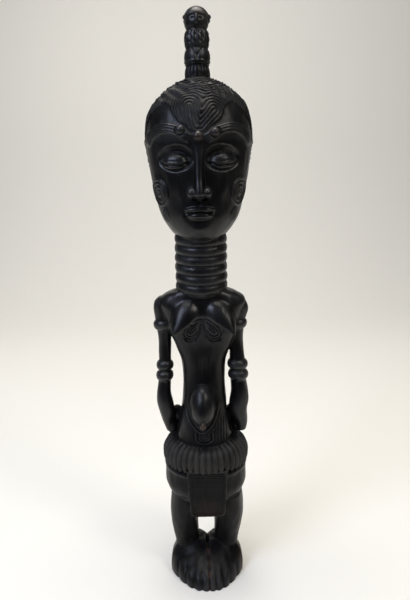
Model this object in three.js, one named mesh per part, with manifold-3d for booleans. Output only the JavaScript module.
// A standing woman in the manner of the Congo savanna carvers, cut from one block of wood and blackened:
// a tall ringed neck, a knot of hair with a small head for its tip, arms at her sides with carved rings,
// a full navel, a fluted frill over a short wrap, a square apron and broad feet.
// Millimetres, +Z up. She faces -Y, so her left side is towards +X, and she stands on z = 0.

import * as THREE from "three";
import { mergeVertices } from "three/addons/utils/BufferGeometryUtils.js";
import Module from "manifold-3d";

// Driving dimensions. A carver sets a figure out in shares of the block, so every proportion below is
// given in thousandths of the height.
const HEIGHT = 560;
const part = HEIGHT / 1000;

// Levels of the block, from the soles up
const APRON_BOTTOM_LEVEL = 131 * part;
const WRAP_HEM_LEVEL = 157 * part;
const FRILL_HEM_LEVEL = 222.5 * part;
const FRILL_TOP_LEVEL = 276 * part;
const NECK_BASE_LEVEL = 538 * part;
const CHIN_LEVEL = 631 * part;
const CROWN_LEVEL = 888 * part;

// Head and neck
const EYE_LEVEL = 754 * part;
const BROW_LEVEL = 796 * part;
const NOSE_LEVEL = 696 * part;
const MOUTH_LEVEL = 673 * part;
const EYE_SPREAD = 37 * part;
const NECK_HALF_WIDTH = 42.6 * part;
const NECK_HALF_DEPTH = 37.5 * part;
const NECK_RINGS = 7;
const NECK_RING_RISE = 3 * part;
const NECK_RING_DIP = 5.5 * part;

// Hair, and its knot on the crown
const HAIR_RISE = 2.5 * part;
const LOCK_DEPTH = 3.5 * part;
const HAIR_LOCKS = 4;
const LOCK_RADIUS = 1.8 * part;
const KNOT_RADIUS = 18 * part;
const KNOT_SWELL = 3.6 * part;
const KNOT_SETBACK = 4 * part;
const FINIAL_RADIUS = 20.5 * part;

// Arms
const ARM_OFFSET = 4 * part;
const ARM_RING_RISE = 4.5 * part;
const ARM_RING_HALF_HEIGHT = 8 * part;
const ARM_RING_LEVELS = [475 * part, 401 * part, 382 * part];
const LEFT_ARM_AWAY = 1 * part;
const LEFT_ARM_STOUTER = 2.8 * part;
const LEFT_SHOULDER_OUT = 3.5 * part;
const LEFT_HAND_OUT = 11 * part;
const FINGERS = 4;

// Dress
const PLEATS = 42;
const PLEAT_DEPTH = 2.8 * part;
const FRILL_MIDDLE = 1.5 * part;
const FRILL_FRONT_DROP = 9 * part;
const WRAP_MIDDLE = 1 * part;
const WRAP_DIP = 6 * part;
const BELT_DIP = 12 * part;
const APRON_HALF_WIDTH = 36 * part;
const APRON_NARROWING = 0.86;
const APRON_HEIGHT = 93 * part;
const APRON_THICKNESS = 12 * part;
const APRON_STANDOFF = 42 * part;
const APRON_SLOPE = 10.2 * part;
const APRON_MIDDLE = 3.5 * part;
const APRON_BORDER = 4 * part;
const APRON_GROOVES = 5;

// Legs and feet
const LEFT_LEG_STOUTER = 1.8 * part;
const FEET_JOIN = 2 * part;
const SEAM_SHIFT = 3.4 * part;
const TOES = 5;
const TOE_REACH = 82 * part;

const wasm = await Module();
wasm.setup();

const sized = (stations) => stations.map((station) => station.map((value) => value * part));
const smoothstep = THREE.MathUtils.smoothstep;
const front = -Math.PI / 2;

// A closed geometry as a solid whose shared corners are one.
function solid(geometry) {
  const bare = geometry.clone();
  for (const name of ["normal", "uv"]) bare.deleteAttribute(name);
  const merged = mergeVertices(bare, 1e-4);
  const corners = merged.index.array;
  const kept = [];
  for (let i = 0; i < corners.length; i += 3) {
    const [a, b, c] = corners.slice(i, i + 3);
    if (a !== b && b !== c && c !== a) kept.push(a, b, c);
  }
  const vertProperties = merged.attributes.position.array;
  return new wasm.Manifold(new wasm.Mesh({ numProp: 3, vertProperties, triVerts: new Uint32Array(kept) }));
}

const joined = (solids) => solids.reduce((whole, piece) => whole.add(piece));
const bothSides = (make) => joined([make(1), make(-1)]);

// Values of a table of [level, ...values] at a level, on a smooth curve through its stations.
function between(stations, level) {
  const last = stations.length - 1;
  const z = THREE.MathUtils.clamp(level, stations[0][0], stations[last][0]);
  const i = Math.min(last - 1, Math.max(0, stations.findIndex((station) => station[0] > z) - 1));
  const j = z >= stations[last][0] ? last - 1 : i;
  const [a, b] = [stations[j], stations[j + 1]];
  const [before, after] = [stations[Math.max(0, j - 1)], stations[Math.min(last, j + 2)]];
  const span = b[0] - a[0];
  const t = (z - a[0]) / span;
  return a.slice(1).map((value, k) => {
    const slopeA = ((b[k + 1] - before[k + 1]) / (b[0] - before[0])) * span;
    const slopeB = ((after[k + 1] - value) / (after[0] - a[0])) * span;
    const step = t * t * (3 - 2 * t);
    return value + (b[k + 1] - value) * step + slopeA * t * (1 - t) ** 2 - slopeB * t * t * (1 - t);
  });
}

// A closed form turned out of rings at shares of its rise from 0 to 1. place(turn, rise, reach) gives
// its points: turn runs round from +X, and reach is 1 on the wall and 0 at the middle of an end.
function turned(rises, around, place) {
  const wall = rises.map((rise) => new THREE.Vector2(1, rise));
  const outline = [new THREE.Vector2(0, rises[0]), ...wall, new THREE.Vector2(0, rises[rises.length - 1])];
  const drum = new THREE.LatheGeometry(outline, around);
  const position = drum.attributes.position;
  for (let i = 0; i < position.count; i++) {
    const [x, y] = [position.getZ(i), position.getX(i)];
    const reach = Math.hypot(x, y) > 0.5 ? 1 : 0;
    const point = place(Math.atan2(y, x), position.getY(i), reach);
    position.setXYZ(i, point.x, point.y, point.z);
  }
  return solid(drum);
}

const evenly = (count) => Array.from({ length: count + 1 }, (_, i) => i / count);

// A form given by stations of [level, half width, reach to the front, reach to the back].
// lean(z) moves its middle, and relief(turn, z) raises or sinks its surface.
function formed(stations, options) {
  const { levels, around, lean = () => [0, 0], relief = () => 0, squareness = 2, dip = 0 } = options;
  return turned(levels, around, (turn, z, reach) => {
    const [halfWidth, toFront, toBack] = between(stations, z);
    const [x, y] = lean(z);
    const raised = relief(turn, z);
    const across = Math.sign(Math.cos(turn)) * Math.abs(Math.cos(turn)) ** (2 / squareness);
    const along = Math.sign(Math.sin(turn)) * Math.abs(Math.sin(turn)) ** (2 / squareness);
    const depth = along < 0 ? toFront : toBack;
    return new THREE.Vector3(
      x + reach * across * (halfWidth + raised),
      y + reach * along * (depth + raised),
      z + reach * dip * Math.sin(turn),
    );
  });
}

const levelsOf = (low, high, count) => evenly(count).map((share) => low + (high - low) * share);

function ball([x, y, z], [a, b, c], around = 12, rows = 8, tilt = [0, 0, 0]) {
  const geometry = new THREE.SphereGeometry(1, around, rows).rotateX(Math.PI / 2).scale(a, b, c);
  geometry.rotateX(tilt[0]).rotateY(tilt[1]).rotateZ(tilt[2]).translate(x, y, z);
  return solid(geometry);
}

// A rounded ridge of wood along a line of points.
function ridge(points, radius, steps, sides = 5) {
  const section = new THREE.Shape();
  section.absarc(0, 0, radius, 0, 2 * Math.PI);
  const extrudePath = new THREE.CatmullRomCurve3(points);
  const tube = new THREE.ExtrudeGeometry(section, { extrudePath, steps, curveSegments: sides });
  return solid(tube);
}

// The skull from under the chin to the crown, as [level, half width, reach of the face, reach of the nape].
const skullStations = sized([
  [625, 26, 44, 10],
  [634, 42, 53, 22],
  [650, 56, 60, 40],
  [670, 67, 65, 52],
  [700, 75, 68, 60],
  [735, 82, 71, 66],
  [770, 86.5, 73, 69],
  [798, 88.5, 74, 70],
  [822, 86, 70, 67],
  [845, 79, 61, 60],
  [864, 63, 48, 48],
  [878, 43, 32, 34],
  [889, 20, 15, 20],
]);

// A point on the front of the head at a given x and z, raised by a little.
function onFace(x, z, raised = 0) {
  const [side, face] = between(skullStations, z);
  const round = Math.sqrt(Math.max(0, 1 - (x / (side + raised)) ** 2));
  return new THREE.Vector3(x, -(face + raised) * round, z);
}

// How far in the top of the head is on her right side, which is a little flatter than her left.
const flatterRight = (turn, z) =>
  4 * part * smoothstep(z, 828 * part, 852 * part) * Math.max(0, -Math.cos(turn));

function skull() {
  const levels = skullStations.map(([level]) => level);
  return turned(levels, 20, (turn, z, reach) => {
    const [side, face, nape] = between(skullStations, z);
    const depth = Math.sin(turn) < 0 ? face : nape;
    const across = side * Math.cos(turn) + flatterRight(turn, z);
    return new THREE.Vector3(reach * across, reach * depth * Math.sin(turn), z);
  });
}

function sockets() {
  return bothSides((s) => {
    const { x, y, z } = onFace(s * EYE_SPREAD, EYE_LEVEL + 4 * part, 5 * part);
    return ball([x, y, z], [27 * part, 13 * part, 21 * part], 8, 5, [0, 0, s * 0.42]);
  });
}

// Closed lids, each a plain swelling in its socket with a rim below.
function eyes() {
  return bothSides((s) => {
    const { x, y, z } = onFace(s * EYE_SPREAD, EYE_LEVEL, -9 * part);
    return ball([x, y, z], [22 * part, 15 * part, 14 * part], 8, 5, [0, 0, s * 0.4]);
  });
}

function nose() {
  const stations = sized([
    [0, 8, 11, 8],
    [4, 12, 17, 8],
    [13, 11, 16, 8],
    [32, 8.5, 10, 8],
    [64, 7, 4, 8],
    [92, 11, -1, 8],
  ]).map(([z, ...reach]) => [NOSE_LEVEL + z, ...reach]);
  const levels = stations.map(([level]) => level);
  const bridge = formed(stations, { levels, around: 10, lean: (z) => [0, onFace(0, z).y] });
  const wings = bothSides((s) => {
    const { x, y } = onFace(s * 12 * part, NOSE_LEVEL);
    const radii = [8 * part, 10 * part, 8.5 * part];
    return ball([x, y - 5 * part, NOSE_LEVEL + 8 * part], radii, 8, 5, [0.2, 0, s * 0.3]);
  });
  return joined([bridge, wings]);
}

function lips() {
  const lip = (halfWidth, level, fullness) =>
    ball([0, onFace(0, level).y + 3 * part, level], [halfWidth, 10 * part, fullness], 8, 4);
  const upper = lip(25 * part, MOUTH_LEVEL + 4.5 * part, 5.5 * part);
  return joined([upper, lip(20 * part, MOUTH_LEVEL - 5 * part, 6.5 * part)]);
}

// Raised bands over the eyes, with three bosses where they meet.
function brows() {
  const arch = sized([
    [12, -10],
    [34, 4],
    [56, 8],
    [74, 0],
    [84, -14],
  ]);
  const bands = bothSides((s) => {
    const line = arch.map(([x, lift]) => onFace(s * x, BROW_LEVEL + lift, -1 * part));
    return ridge(line, 6 * part, 6, 2);
  });
  const bosses = sized([
    [-28, 4],
    [0, -6],
    [26, 0],
  ]).map(([x, lift]) => {
    const place = onFace(x, BROW_LEVEL + lift, 2 * part);
    return ball(place.toArray(), [7.5 * part, 6 * part, 7 * part], 8, 4);
  });
  return joined([bands, ...bosses]);
}

// A disc and a crescent stand on each cheek.
function cheekMarks() {
  return bothSides((s) => {
    const disc = onFace(s * 63 * part, NOSE_LEVEL + 10 * part, -2 * part);
    const crescent = onFace(s * 55 * part, NOSE_LEVEL - 27 * part, -2 * part);
    return joined([
      ball(disc.toArray(), [13 * part, 6 * part, 23 * part], 8, 5, [0, 0, s * 0.85]),
      ball(crescent.toArray(), [8 * part, 5 * part, 12 * part], 6, 4, [0, 0, s * 0.85]),
    ]);
  });
}

// Locks of hair: two scrolls side by side on the forehead, ring outside ring, that meet over the brow.
function hairScrolls() {
  const [across, level] = [21 * part, 841 * part];
  const lock = (s, radius) => {
    const steps = [-0.3, 0, 0.35, 0.7, 1, 1.2].map((turn) => {
      const x = s * (across - Math.cos(Math.PI * turn) * radius);
      return onFace(x, level + Math.sin(Math.PI * turn) * radius, HAIR_RISE + 1 * part);
    });
    return ridge(steps, LOCK_RADIUS, 6, 2);
  };
  return bothSides((s) => joined([9, 17].map((radius) => lock(s, radius * part))));
}

// Where the hair begins, from a rounded tongue over the brow up to the temples and down behind to the
// nape, as [turn away from the front, level].
const hairline = [
  [0, 796],
  [0.28, 806],
  [0.55, 824],
  [0.8, 843],
  [0.95, 844],
  [1.3, 815],
  [1.7, 745],
  [2.3, 686],
  [3.15, 672],
].map(([turn, level]) => [turn, level * part]);

// The cap of hair, in locks that run round the crown one above another.
function hairCap() {
  return turned(evenly(2 * HAIR_LOCKS), 20, (turn, share, reach) => {
    const away = Math.abs(Math.atan2(Math.sin(turn - front), Math.cos(turn - front)));
    const [low] = between(hairline, away);
    const top = CROWN_LEVEL - 2 * part;
    const z = low + (top - low) * share ** 0.8;
    const [side, face, nape] = between(skullStations, z);
    const raised = HAIR_RISE + (Math.round(share * 2 * HAIR_LOCKS) % 2 ? 0.5 : -0.5) * LOCK_DEPTH;
    const depth = Math.sin(turn) < 0 ? face : nape;
    const across = (side + raised) * Math.cos(turn) + flatterRight(turn, z);
    const wall = new THREE.Vector3(across, (depth + raised) * Math.sin(turn), z);
    return reach ? wall : new THREE.Vector3(0, 0, share < 0.5 ? 760 * part : top);
  });
}

// The knot: a stem of swelling bulbs, and a small plain head with two ears for its tip.
function knot() {
  const notches = [882, 908, 934, 962];
  const stations = notches.map((level, i) => [level * part, i]);
  const top = stations[stations.length - 1][0];
  const foot = 878 * part;
  const bulbLevels = stations.slice(1).flatMap(([high], i) => {
    const low = stations[i][0];
    return [0, 0.5].map((share) => low + (high - low) * share);
  });
  const stem = turned([foot, ...bulbLevels, top], 10, (turn, z, reach) => {
    const [bulb] = between(stations, z);
    const radius = reach * (KNOT_RADIUS + KNOT_SWELL * Math.abs(Math.sin(Math.PI * bulb)) ** 0.6);
    return new THREE.Vector3(radius * Math.cos(turn), KNOT_SETBACK + radius * Math.sin(turn), z);
  });
  const middle = 979 * part;
  const head = turned([-0.95, -0.7, 0, 0.4, 0.75, 1], 10, (turn, lift, reach) => {
    const round = lift > 0 ? (1 - lift ** 2.2) ** 0.6 : (1 - Math.abs(lift) ** 3.4) ** 0.4;
    const radius = reach * FINIAL_RADIUS * round;
    const z = middle + lift * (HEIGHT - middle);
    return new THREE.Vector3(radius * Math.cos(turn), KNOT_SETBACK + radius * Math.sin(turn), z);
  });
  const ears = bothSides((s) => {
    const width = (s > 0 ? 3.2 : 1.6) * part;
    return ball([s * FINIAL_RADIUS, KNOT_SETBACK, middle + 1 * part], [width, 4 * part, 6.5 * part], 6, 4);
  });
  const nub = [0, KNOT_SETBACK - 0.9 * FINIAL_RADIUS, middle - 3 * part];
  return joined([stem, head, ears, ball(nub, [3 * part, 4 * part, 5 * part], 6, 4)]);
}

function neck() {
  const foot = NECK_BASE_LEVEL - 8 * part;
  const top = CHIN_LEVEL + 22 * part;
  const pitch = (top - NECK_BASE_LEVEL) / NECK_RINGS;
  const levels = [foot, ...levelsOf(NECK_BASE_LEVEL, top, 2 * NECK_RINGS)];
  const full = NECK_BASE_LEVEL + 3 * part;
  const stations = [
    [foot, ...[28, 22, 22].map((value) => value * part)],
    [NECK_BASE_LEVEL - 2 * part, ...[40, 35, 35].map((value) => value * part)],
    [full, NECK_HALF_WIDTH, NECK_HALF_DEPTH, NECK_HALF_DEPTH],
    [top, NECK_HALF_WIDTH, NECK_HALF_DEPTH, NECK_HALF_DEPTH],
  ];
  const relief = (turn, z) =>
    NECK_RING_RISE * Math.abs(Math.sin((Math.PI * (z - NECK_BASE_LEVEL)) / pitch)) ** 0.7;
  return formed(stations, { levels, around: 13, relief, dip: NECK_RING_DIP });
}

// The trunk, as [level, half width, reach to the front, reach to the back].
const trunkStations = sized([
  [262, 52, 51, 43],
  [300, 46, 46, 34],
  [324, 41, 41, 29],
  [355, 38, 34, 26],
  [389, 37, 31, 28],
  [413, 39.5, 31, 30],
  [437, 48, 32, 33],
  [466, 60, 36, 36],
  [500, 71, 38, 39],
  [514, 77, 36, 39],
  [525, 74, 33, 38],
  [534, 62, 32, 37],
  [541, 44, 31, 35],
]);

// A hollow runs down the back, and her left flank is a little fuller than her right.
function trunk() {
  const levels = trunkStations.map(([level]) => level);
  const relief = (turn, z) => {
    const spine = smoothstep(Math.sin(turn), 0.93, 1) * smoothstep(z, 300 * part, 400 * part);
    const waist = smoothstep(z, 310 * part, 340 * part) - smoothstep(z, 450 * part, 480 * part);
    return (1.8 * waist * Math.max(0, Math.cos(turn)) - 3 * spine) * part;
  };
  return formed(trunkStations, { levels, around: 16, relief, squareness: 2.3 });
}

// Breasts swell out of the upper chest to a point, with a ridge on top, and are cut flat below.
function breasts() {
  const profile = [
    [0, 30],
    [0.2, 29],
    [0.45, 22],
    [0.7, 13.5],
    [0.9, 6],
    [1, 2],
  ];
  const shares = profile.map(([share]) => share);
  return bothSides((s) => {
    const root = new THREE.Vector3(s * 26 + 1, -16, 506);
    const along = new THREE.Vector3(s * 53 + 2.5, -54, 466).sub(root);
    const aim = along.clone().normalize();
    const up = new THREE.Vector3(0, 0, 1).addScaledVector(aim, -aim.z).normalize();
    const side = up.clone().cross(aim);
    return turned(shares, 12, (turn, share, reach) => {
      const radius = reach * between(profile, share)[0] * (1 + 0.04 * Math.cos(3 * (turn + front)));
      const flat = Math.sin(turn) < 0 ? 0.42 : 0.74;
      const place = root.clone().addScaledVector(along, share);
      place.addScaledVector(side, radius * Math.cos(turn));
      return place.addScaledVector(up, flat * radius * Math.sin(turn)).multiplyScalar(part);
    });
  });
}

// How far the trunk reaches to the front at a given x and z.
function trunkFront(x, z) {
  const [halfWidth, reach] = between(trunkStations, z);
  return -reach * (1 - Math.min(1, Math.abs(x / halfWidth)) ** 2.3) ** (1 / 2.3);
}

// Two looped scars hang from a point between the breasts.
function chestMarks() {
  const apex = { x: 1.5 * part, z: 493 * part };
  const length = 44 * part;
  return bothSides((s) => {
    const rim = [0.2, 0.6, 1, 1.4, 1.8].map((turn) => {
      const along = length * (0.5 - 0.5 * Math.cos(Math.PI * turn));
      const across = 13 * part * Math.sin(Math.PI * turn) * (0.35 + (0.65 * along) / length);
      const x = s * (apex.x + along * 0.66 + across * 0.75);
      const z = apex.z - along * 0.75 + across * 0.66;
      return new THREE.Vector3(x, trunkFront(x, z), z);
    });
    const vein = rim[2].clone().lerp(rim[0], 0.75);
    vein.y = trunkFront(vein.x, vein.z);
    return joined([ridge(rim, 1.8 * part, 7, 2), ridge([rim[2], vein], 1.8 * part, 1, 2)]);
  });
}

// The navel swells out of the belly like a drop, with a knob at its tip and two curved scars below.
function navel() {
  const [x, y] = [-2 * part, -42 * part];
  const drop = ball([x, y, 338 * part], [22 * part, 24 * part, 37 * part], 10, 6, [-0.35, 0, 0]);
  const knob = ball([x, y - 24 * part, 309 * part], [6 * part, 7 * part, 7 * part], 8, 4);
  const scars = [9, 17].map((radius) => {
    const arc = [-1, -0.5, 0, 0.5, 1].map((share) => {
      const x = radius * part * Math.sin(share * 1.5);
      const z = 296 * part - radius * part * Math.cos(share * 1.5);
      return new THREE.Vector3(x, trunkFront(x, z), z);
    });
    return ridge(arc, 2 * part, 4, 2);
  });
  return joined([drop, knob, ...scars]);
}

// The arms, as [level, outer edge, half width, reach to the front, reach to the back, middle].
const armStations = sized([
  [274, 66, 8, 9, 9, 4],
  [289, 71, 10, 11, 10, 2],
  [311, 77, 14, 13, 12, -1],
  [332, 81.5, 15, 14, 13, -2],
  [350, 81, 13, 14, 13, -1],
  [372, 78.5, 12, 13, 13, 1],
  [440, 75.5, 11.5, 12, 12, 3],
  [490, 81, 15, 16, 16, 2],
  [508, 82.5, 17, 18, 18, 2],
  [519, 80, 16, 16, 16, 2],
  [527, 72, 9, 10, 10, 2],
]);

// Her left arm is a little stouter below the upper ring, and its shoulder stands out further.
function arms() {
  const plain = armStations.map(([level]) => level);
  const ringLevels = (level) => [-1, 0, 1].map((k) => level + k * ARM_RING_HALF_HEIGHT);
  const clear = (level) => ARM_RING_LEVELS.every((ring) => Math.abs(level - ring) > ARM_RING_HALF_HEIGHT);
  const levels = [...plain.filter(clear), ...ARM_RING_LEVELS.flatMap(ringLevels)].sort((a, b) => a - b);
  const ringRise = (z) =>
    ARM_RING_LEVELS.reduce((sum, level) => {
      const away = Math.abs(z - level) / ARM_RING_HALF_HEIGHT;
      return sum + (away < 1 ? ARM_RING_RISE * Math.sqrt(1 - away * away) : 0);
    }, 0);
  const lower = (z) => 1 - smoothstep(z, 400 * part, 460 * part);
  return bothSides((s) => {
    const lean = (z) => {
      const [outer, half, , , back] = between(armStations, z);
      const shoulder = Math.exp(-(((z / part - 502) / 14) ** 2));
      const hand = 1 - smoothstep(z, 274 * part, 325 * part);
      const out = LEFT_ARM_AWAY * lower(z) + LEFT_HAND_OUT * hand + LEFT_SHOULDER_OUT * shoulder;
      const away = s > 0 ? out : 0;
      return [s * (outer - half + away) - ARM_OFFSET, back];
    };
    const relief = (turn, z) => ringRise(z) + (s > 0 ? LEFT_ARM_STOUTER * lower(z) : 0);
    const sides = armStations.map(([z, , ...reach]) => [z, ...reach.slice(0, 3)]);
    return formed(sides, { levels, around: 8, lean, relief });
  });
}

// Each hand lies flat against the hip, four fingers one over another towards the back.
function hands() {
  const stations = sized([
    [268, 7, 12, 16],
    [276, 12, 17, 24],
    [296, 14, 18, 26],
    [312, 12, 15, 20],
    [320, 6, 9, 10],
  ]);
  const low = stations[0][0];
  const high = stations[stations.length - 1][0];
  const finger = (high - low) / FINGERS;
  const relief = (turn, z) => {
    const groove = Math.abs(Math.cos((Math.PI * (z - low)) / finger)) > 0.5 ? -3 * part : 0;
    return groove * smoothstep(Math.sin(turn), -0.2, 0.6);
  };
  const levels = levelsOf(low, high, 2 * FINGERS);
  return bothSides((s) => {
    const middle = s > 0 ? 0.5 * LEFT_HAND_OUT - ARM_OFFSET : -ARM_OFFSET;
    const lean = (z) => [s * (54 * part + 0.15 * (z - low)) + middle, 10 * part];
    const heel = ball([s * 50 * part, 8 * part, 305 * part], [12 * part, 10 * part, 17 * part], 6, 4);
    return formed(stations, { levels, around: 6, lean, relief }).add(heel);
  });
}

// The frill, as [level, half width, reach to the front, reach to the back].
const frillStations = [
  [FRILL_HEM_LEVEL, ...[72, 66, 60].map((value) => value * part)],
  ...sized([
    [231, 75.5, 70, 64],
    [241, 76, 70, 65],
    [251, 74, 66.5, 62],
    [262, 68, 60, 55],
    [270, 60, 52.5, 47],
  ]),
  [FRILL_TOP_LEVEL, ...[50, 45, 40].map((value) => value * part)],
];

// The frill spreads like a bell from the waist, cut into pleats with a scalloped hem.
function frill() {
  const levels = [FRILL_HEM_LEVEL, 240 * part, 260 * part, FRILL_TOP_LEVEL];
  return turned(levels, 2 * PLEATS, (turn, level, reach) => {
    const [halfWidth, toFront, toBack] = between(frillStations, level);
    const fading = 1 - smoothstep(level, 262 * part, FRILL_TOP_LEVEL);
    const pleat = PLEAT_DEPTH * Math.cos(PLEATS * turn) * fading;
    const depth = Math.sin(turn) < 0 ? toFront : toBack;
    const drop = FRILL_FRONT_DROP * Math.sin(turn) ** 2 * smoothstep(level, 250 * part, FRILL_TOP_LEVEL);
    const scallop = reach * (level > FRILL_HEM_LEVEL ? 0 : pleat);
    return new THREE.Vector3(
      FRILL_MIDDLE + reach * (halfWidth + pleat) * Math.cos(turn),
      reach * (depth + pleat) * Math.sin(turn),
      level - drop - scallop,
    );
  });
}

// The wrap round the hips, with a rolled belt under the frill and a hem that stands off the thighs.
function wrap() {
  const hem = WRAP_HEM_LEVEL;
  const stations = sized([
    [0, 60, 46, 47],
    [8, 66, 50, 52],
    [19, 71.5, 54, 56],
    [29, 74.5, 56, 58],
    [58, 74.5, 58, 58],
    [65, 76, 61, 60],
    [70, 74, 59, 59],
    [83, 64, 56, 52],
  ]).map(([rise, ...reach]) => [hem + rise, ...reach]);
  const levels = stations.map(([level]) => level);
  const square = (value) => Math.sign(value) * Math.abs(value) ** 0.87;
  return turned(levels, 16, (turn, z, reach) => {
    const [halfWidth, toFront, toBack] = between(stations, z);
    const dip = THREE.MathUtils.lerp(WRAP_DIP, BELT_DIP, smoothstep(z, hem + 19 * part, hem + 60 * part));
    const depth = Math.sin(turn) < 0 ? toFront : toBack;
    return new THREE.Vector3(
      WRAP_MIDDLE + reach * halfWidth * square(Math.cos(turn)),
      reach * depth * square(Math.sin(turn)),
      z + reach * dip * Math.sin(turn),
    );
  });
}

// A square cloth hangs in front, with a raised border round fine cross grooves.
function apron() {
  const height = APRON_HEIGHT;
  const tilt = Math.atan2(APRON_SLOPE, height);
  const lowHalf = APRON_NARROWING * APRON_HALF_WIDTH;
  const chamfer = 7 * part;
  const outline = new THREE.Shape(
    [
      [-APRON_HALF_WIDTH, height],
      [-lowHalf, chamfer],
      [-lowHalf + chamfer, 0],
      [lowHalf - chamfer, 0],
      [lowHalf, chamfer],
      [APRON_HALF_WIDTH, height],
    ].map(([x, y]) => new THREE.Vector2(x, y)),
  );
  const bevel = 1.5 * part;
  const cloth = new THREE.ExtrudeGeometry(outline, {
    depth: APRON_THICKNESS,
    bevelThickness: bevel,
    bevelSize: bevel,
    bevelOffset: -bevel,
    bevelSegments: 1,
  });
  const seen = FRILL_HEM_LEVEL - APRON_BOTTOM_LEVEL;
  const pitch = (seen - APRON_BORDER) / APRON_GROOVES;
  const cuts = Array.from({ length: APRON_GROOVES }, (_, i) => {
    const level = APRON_BORDER + pitch * (i + 0.5);
    const half = lowHalf + ((APRON_HALF_WIDTH - lowHalf) * level) / height - APRON_BORDER;
    const groove = new THREE.BoxGeometry(2 * half, 0.55 * pitch, 2.4 * part);
    return solid(groove.translate(0, level, APRON_THICKNESS + bevel));
  });
  const panel = cuts.reduce((whole, cut) => whole.subtract(cut), solid(cloth));
  return placed(panel, (geometry) => {
    geometry.rotateX(Math.PI / 2 + tilt);
    return geometry.translate(APRON_MIDDLE, -APRON_STANDOFF, APRON_BOTTOM_LEVEL);
  });
}

// A solid as a geometry, moved, and a solid again.
function placed(piece, move) {
  return solid(move(asGeometry(piece)));
}

function asGeometry(piece) {
  const { vertProperties, triVerts } = piece.getMesh();
  const geometry = new THREE.BufferGeometry();
  geometry.setAttribute("position", new THREE.BufferAttribute(vertProperties, 3));
  return geometry.setIndex(new THREE.BufferAttribute(triVerts, 1));
}

function legs() {
  const stations = sized([
    [30, 22, 20, 24],
    [54, 22, 20, 24],
    [78, 24.5, 25, 25],
    [112, 26, 33, 28],
    [140, 26.5, 38, 32],
    [180, 25, 40, 36],
  ]);
  const middle = sized([
    [30, 37],
    [54, 37.5],
    [112, 41],
    [180, 37],
  ]);
  const levels = stations.map(([level]) => level);
  return bothSides((s) => {
    const stouter = (z) => (s > 0 ? LEFT_LEG_STOUTER * smoothstep(z, 60 * part, 130 * part) : 0);
    const lean = (z) => [s * between(middle, z)[0] + stouter(z), 0];
    return formed(stations, { levels, around: 10, lean, relief: (turn, z) => stouter(z) });
  });
}

// The outline of a foot's sole, from the inner edge round the toes to the heel, in shares of a turn.
// Gives [share of the half width outwards, share of the toes' reach forwards, depth of a groove].
function soleOutline(share) {
  const toeShare = 0.6;
  if (share < toeShare) {
    const toe = (TOES * share) / toeShare;
    const shorter = 0.57 * THREE.MathUtils.clamp((toe - 0.5) / (TOES - 1), 0, 1.1) ** 2.1;
    return [(2 * toe) / TOES - 1, 1 - shorter, 1 - Math.sqrt(Math.abs(Math.sin(Math.PI * toe)))];
  }
  const turn = (Math.PI * (share - toeShare)) / (1 - toeShare);
  const side = Math.sign(Math.cos(turn)) * Math.abs(Math.cos(turn)) ** 0.7;
  return [side, -0.56 * Math.sin(turn) ** 0.7 + 0.2 * (1 - Math.sin(turn)), 0];
}

// Broad feet, set side by side on one flat sole, with five long toes each and full inner ankles. The
// seam between them runs a little to her left at the toes.
function feet() {
  const stations = sized([
    [0, 34, 82],
    [16, 34.5, 78],
    [25, 34, 68],
    [35, 33, 51],
    [44, 30, 36],
    [51, 26, 25],
    [57, 19, 12],
  ]);
  const levels = [0, 16, 30, 44, 57].map((level) => level * part);
  return bothSides((s) => {
    const foot = turned(levels, 5 * TOES, (turn, level, reach) => {
      const share = THREE.MathUtils.euclideanModulo((s * (turn - front)) / (2 * Math.PI), 1);
      const [outwards, forwards, groove] = soleOutline(share);
      const [halfWidth, toFront] = between(stations, level);
      const shape = forwards > 0 ? toFront : Math.min(TOE_REACH, 0.5 * TOE_REACH + 0.5 * toFront);
      const onInstep = smoothstep(toFront, 30 * part, 50 * part);
      const onToes = smoothstep(toFront, 52 * part, 80 * part);
      const sunk = 5 * part * groove * (0.15 * onInstep + 0.85 * onToes);
      const inner = 4 * part * smoothstep(level, 42 * part, 57 * part) - 0.5 * FEET_JOIN;
      const seam = 0.8 * part + SEAM_SHIFT * smoothstep(forwards * shape, 0, 60 * part);
      const across = reach * outwards;
      return new THREE.Vector3(
        s * ((1 + across) * halfWidth + inner) + (seam * (1 - across)) / 2,
        -reach * (forwards * shape - sunk),
        level,
      );
    });
    const ankle = [(s * 11.5 + 1) * part, 9 * part, 35 * part];
    return foot.add(ball(ankle, [16 * part, 25 * part, 24 * part], 8, 6));
  });
}

// The whole figure is one solid, cut off flat under the soles.
function figure() {
  const face = joined([skull().subtract(sockets()), eyes(), nose(), lips(), brows(), cheekMarks()]);
  const hair = joined([hairCap(), hairScrolls(), knot()]);
  const upper = joined([neck(), trunk(), breasts(), chestMarks(), navel(), arms(), hands()]);
  const lower = joined([frill(), wrap(), apron(), legs(), feet()]);
  const ground = new THREE.BoxGeometry(HEIGHT, HEIGHT, HEIGHT).translate(0, 0, -HEIGHT / 2);
  return joined([face, hair, upper, lower]).subtract(solid(ground));
}

// The origin is under the middle of the figure, between the soles.
const geometry = asGeometry(figure());
geometry.computeBoundingBox();
const middle = geometry.boundingBox.getCenter(new THREE.Vector3());
geometry.translate(-middle.x, -middle.y, 0);
geometry.computeVertexNormals();

const blackenedWood = new THREE.MeshStandardMaterial({ color: 0x26262a, roughness: 0.5, metalness: 0 });
const mesh = new THREE.Mesh(geometry, blackenedWood);
mesh.name = "figure";

const group = new THREE.Group();
group.add(mesh);
export default group;
